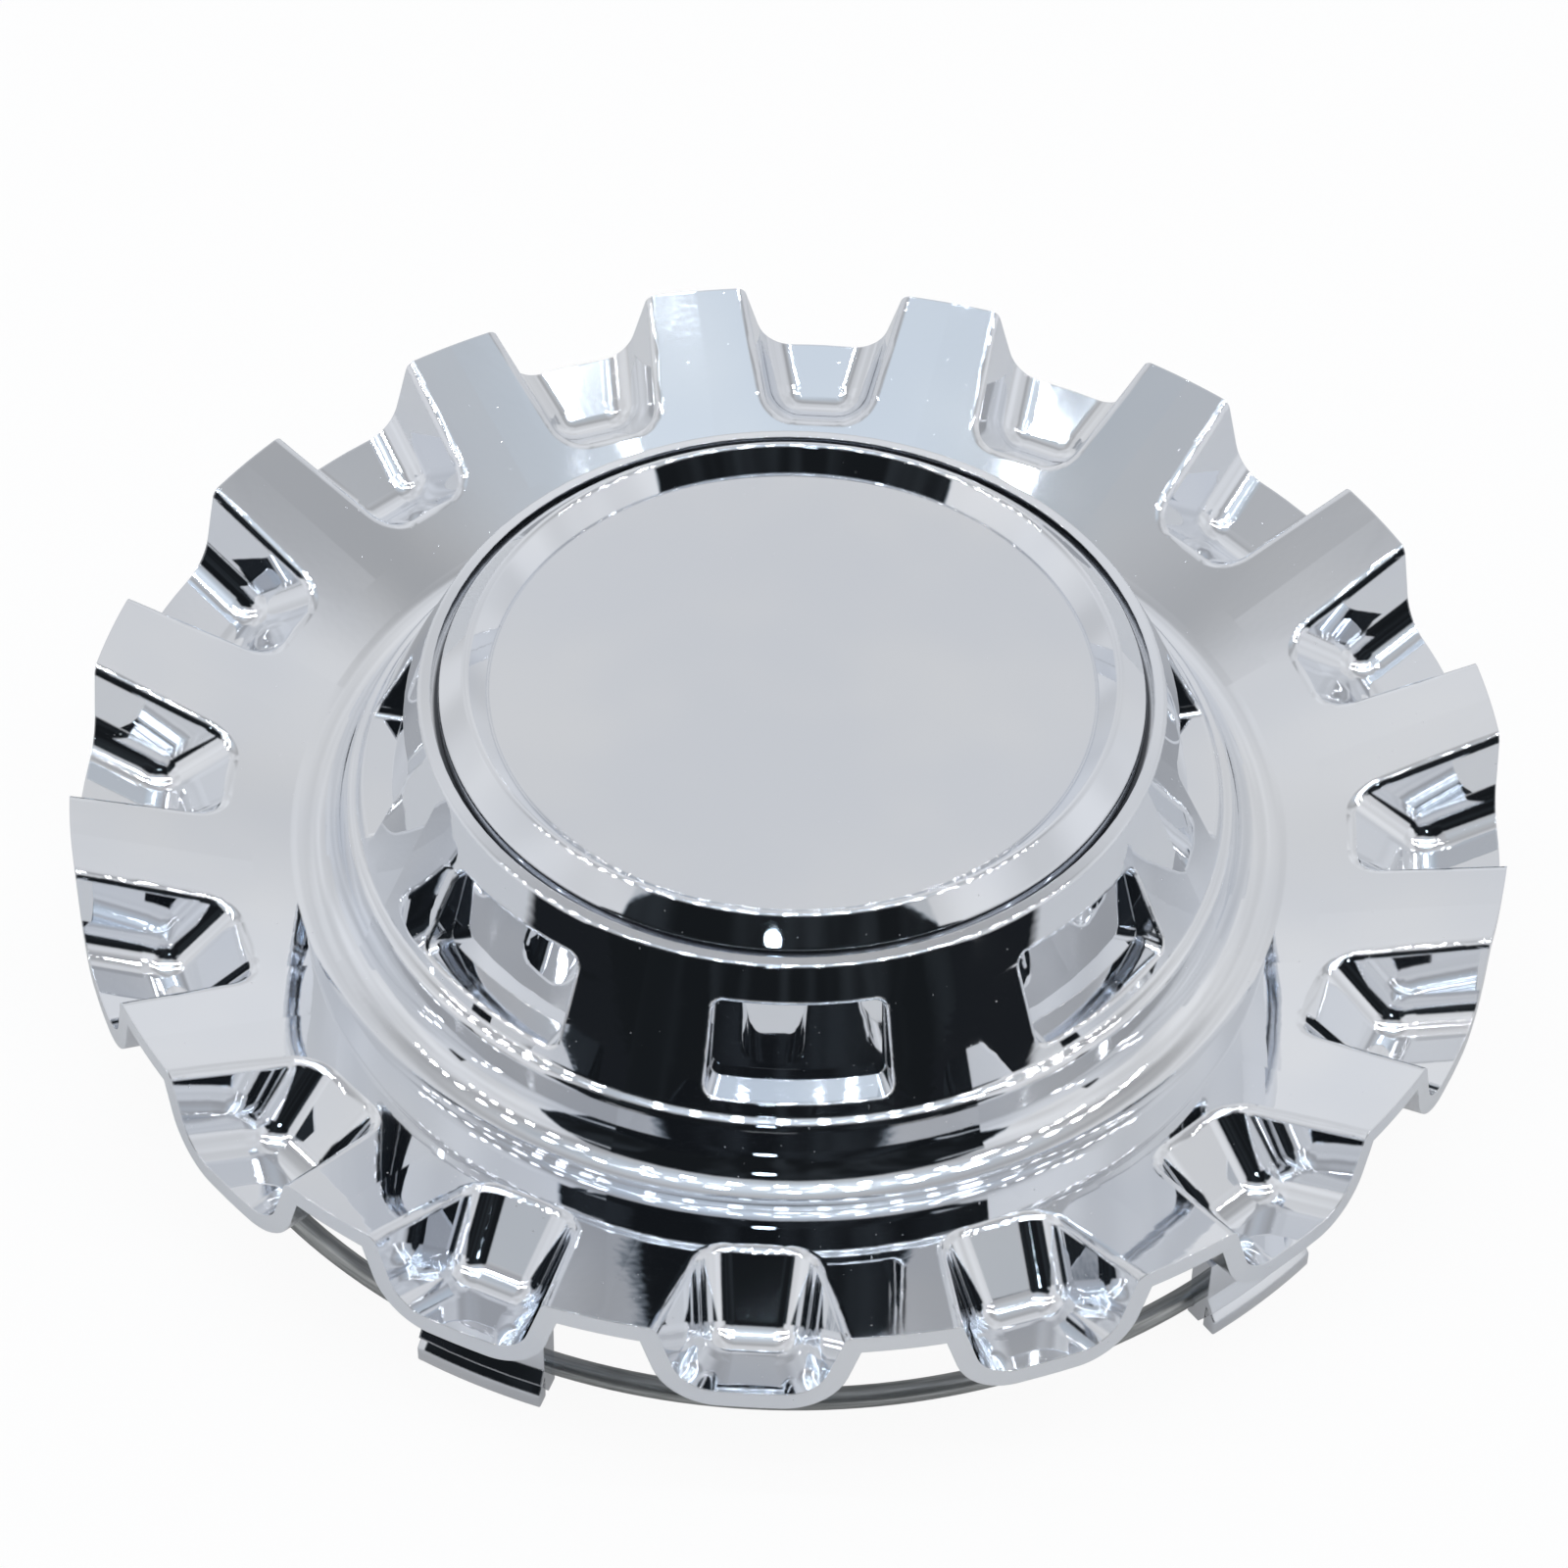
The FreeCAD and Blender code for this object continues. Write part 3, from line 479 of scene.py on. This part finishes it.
# %% Hooked legs below the cap
LEG_OUT, LEG_IN, LEG_TOP, HOOK_TOP, HOOK_LOW, HOOK_OUT = 46.2, 44.4, 46.15, 42.1, 39.7, 47.8
LEG_COUNT, LEG_WIDTH = 6, 11.2
legs = []
for count in range(LEG_COUNT):
    pick(cover)
    bpy.ops.mesh.primitive_cube_add(size=1.0, location=((LEG_OUT + LEG_IN) / 2 * MM, 0.0,
                                                        (LEG_TOP + HOOK_LOW) / 2 * MM))
    leg = bpy.context.object
    leg.scale = ((LEG_OUT - LEG_IN) * MM, LEG_WIDTH * MM, (LEG_TOP - HOOK_LOW) * MM)
    bpy.ops.object.transform_apply(location=True, rotation=True, scale=True)
    open_mesh(leg)
    bpy.ops.mesh.bisect(plane_co=(0.0, 0.0, HOOK_TOP * MM), plane_no=(0.0, 0.0, 1.0))
    bpy.ops.mesh.select_all(action="DESELECT")
    choose_points(leg, lambda p: p.x > (LEG_OUT - 0.01) * MM and p.z < (HOOK_TOP + 0.01) * MM)
    reach = (HOOK_OUT - LEG_OUT) * MM
    bpy.ops.mesh.extrude_region_move(TRANSFORM_OT_translate={"value": (reach, 0.0, 0.0)})
    choose_points(leg, lambda p: p.x > (LEG_OUT + 0.01) * MM and p.z < (HOOK_LOW + 0.01) * MM)
    bpy.ops.transform.translate(value=((LEG_OUT - HOOK_OUT) * MM * 0.95, 0.0, 0.0))
    bpy.ops.mesh.select_all(action="SELECT")
    bpy.ops.transform.rotate(value=-math.radians(360.0 / LEG_COUNT * count), orient_axis="Z",
                             center_override=(0.0, 0.0, 0.0))
    bpy.ops.mesh.normals_make_consistent(inside=False)
    close_mesh()
    legs.append(leg)
pick(cap)
for leg in legs:
    leg.select_set(True)
bpy.ops.object.join()
print("cap with legs:", len(cap.data.polygons), "faces")

# %% Finish the cap
pick(cap)
bpy.ops.object.shade_smooth_by_angle(angle=math.radians(25.0))
even = cap.modifiers.new("even_shading", "WEIGHTED_NORMAL")
even.keep_sharp = True
bpy.ops.object.modifier_apply(modifier=even.name)
cap.data.materials.clear()
cap.data.materials.append(cap_chrome)
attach(cap, "root")
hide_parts("centre_cap")
print("cap box", [round(v / MM, 2) for v in cap.dimensions])

# %% [markdown]
# ## The spring wire
# Below the rim an open ring of round wire pushes the clip feet outwards. A round section is drawn at
# the wire's radius and spun about the wheel axis, stopping short so that the two ends face each other
# across a gap; the cut ends are closed.

# %% Spin the wire
WIRE_RADIUS, RING_RADIUS, RING_HEIGHT, RING_GAP = 1.6, 94.1, 2.6, 12.0
GAP_PLACE = 135.0
gap_turn = math.radians(GAP_PLACE - RING_GAP / 2)
pick(cover)
bpy.ops.mesh.primitive_circle_add(vertices=20, radius=WIRE_RADIUS * MM, fill_type="NOTHING",
                                  location=(RING_RADIUS * MM, 0.0, RING_HEIGHT * MM),
                                  rotation=(math.radians(90.0), 0.0, 0.0))
wire = bpy.context.object
wire.name = "retaining_ring_steel"
bpy.ops.object.transform_apply(location=True, rotation=True, scale=True)
open_mesh(wire)
bpy.ops.mesh.select_all(action="SELECT")
bpy.ops.transform.rotate(value=-gap_turn, orient_axis="Z", center_override=(0.0, 0.0, 0.0))
bpy.ops.mesh.spin(steps=232, angle=math.radians(360.0 - RING_GAP), center=(0.0, 0.0, 0.0),
                  axis=(0.0, 0.0, 1.0))
bpy.ops.mesh.select_all(action="DESELECT")
bpy.ops.mesh.select_mode(type="EDGE")
bpy.ops.mesh.select_non_manifold()
bpy.ops.mesh.edge_face_add()
bpy.ops.mesh.select_all(action="SELECT")
bpy.ops.mesh.remove_doubles(threshold=1e-7)
bpy.ops.mesh.normals_make_consistent(inside=False)
close_mesh()
print("wire points", len(wire.data.vertices), "box", [round(v / MM, 2) for v in wire.dimensions])

# %% Finish the wire
pick(wire)
bpy.ops.object.shade_smooth_by_angle(angle=math.radians(40.0))
wire.data.materials.clear()
wire.data.materials.append(drawn_steel)
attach(wire, "root")
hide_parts("retaining_ring")
turns = sorted(math.degrees(math.atan2(p.co.y, p.co.x)) for p in wire.data.vertices)
wide, start = max((after - before, before) for before, after in zip(turns, turns[1:]))
print("wire gap of", round(wide, 1), "degrees about", round(start + wide / 2, 1), "degrees")

# %% [markdown]
# ## Shoes on the clip feet
# The clip feet end in a thicker shoe with a sloping shoulder, the edge that catches in the wheel bore.
# The plating is dull there. A small section is drawn standing on the floor, its top edge is extruded
# and pulled back for the shoulder, and the whole section is spun through the width of a foot. One shoe
# is bevelled, then copied to the other feet.

# %% Draw and spin one shoe
SHOE_IN, SHOE_OUT, SHOE_FACE, SHOE_TOP, SHOE_SHOULDER = 97.9, 100.2, 2.5, 4.8, 1.75
SHOE_ANGLE, SHOE_PLACES = 11.0, (180.0, 247.5, 315.0, 22.5, 90.0)
pick(cover)
bpy.ops.mesh.primitive_plane_add(size=1.0, rotation=(math.radians(90.0), 0.0, 0.0),
                                 location=((SHOE_IN + SHOE_OUT) / 2 * MM, 0.0, SHOE_FACE / 2 * MM))
shoe = bpy.context.object
shoe.name = "clip_shoe_1"
shoe.scale = ((SHOE_OUT - SHOE_IN) * MM, SHOE_FACE * MM, 1.0)
bpy.ops.object.transform_apply(location=True, rotation=True, scale=True)
open_mesh(shoe)
choose_edges(shoe, lambda a, b: min(a.z, b.z) > (SHOE_FACE - 0.01) * MM)
shoulder_rise = (SHOE_TOP - SHOE_FACE) * MM
bpy.ops.mesh.extrude_edges_move(TRANSFORM_OT_translate={"value": (0.0, 0.0, shoulder_rise)})
choose_points(shoe, lambda p: p.z > (SHOE_TOP - 0.01) * MM and p.x > (SHOE_OUT - 0.01) * MM)
bpy.ops.transform.translate(value=(-SHOE_SHOULDER * MM, 0.0, 0.0))
bpy.ops.mesh.select_all(action="SELECT")
bpy.ops.transform.rotate(value=-math.radians(SHOE_PLACES[0] + SHOE_ANGLE / 2), orient_axis="Z",
                         center_override=(0.0, 0.0, 0.0))
bpy.ops.mesh.spin(steps=14, angle=math.radians(SHOE_ANGLE), center=(0.0, 0.0, 0.0),
                  axis=(0.0, 0.0, 1.0))
bpy.ops.mesh.select_all(action="SELECT")
bpy.ops.mesh.remove_doubles(threshold=1e-7)
bpy.ops.mesh.normals_make_consistent(inside=False)
close_mesh()
print("shoe points", len(shoe.data.vertices), "height", round(shoe.dimensions.z / MM, 2))

# %% Round the shoe and copy it to the other feet
pick(shoe)
soft = shoe.modifiers.new("soft_edges", "BEVEL")
soft.width = 0.25 * MM
soft.segments = 3
soft.limit_method = "ANGLE"
soft.angle_limit = math.radians(30.0)
bpy.ops.object.modifier_apply(modifier=soft.name)
bpy.ops.object.shade_smooth_by_angle(angle=math.radians(35.0))
shoe.data.materials.clear()
shoe.data.materials.append(clip_chrome)
shoes = [shoe]
for count, place in enumerate(SHOE_PLACES[1:], start=2):
    pick(shoe)
    bpy.ops.object.duplicate(linked=False)
    copy = bpy.context.object
    copy.name = "clip_shoe_%d" % count
    open_mesh(copy)
    bpy.ops.mesh.select_all(action="SELECT")
    bpy.ops.transform.rotate(value=-math.radians(place - SHOE_PLACES[0]), orient_axis="Z",
                             center_override=(0.0, 0.0, 0.0))
    close_mesh()
    shoes.append(copy)
for piece in shoes:
    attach(piece, "root")
    middle = [sum(p.co[axis] for p in piece.data.vertices) for axis in (0, 1)]
    print(piece.name, "at", round(math.degrees(math.atan2(middle[1], middle[0])), 1), "degrees")
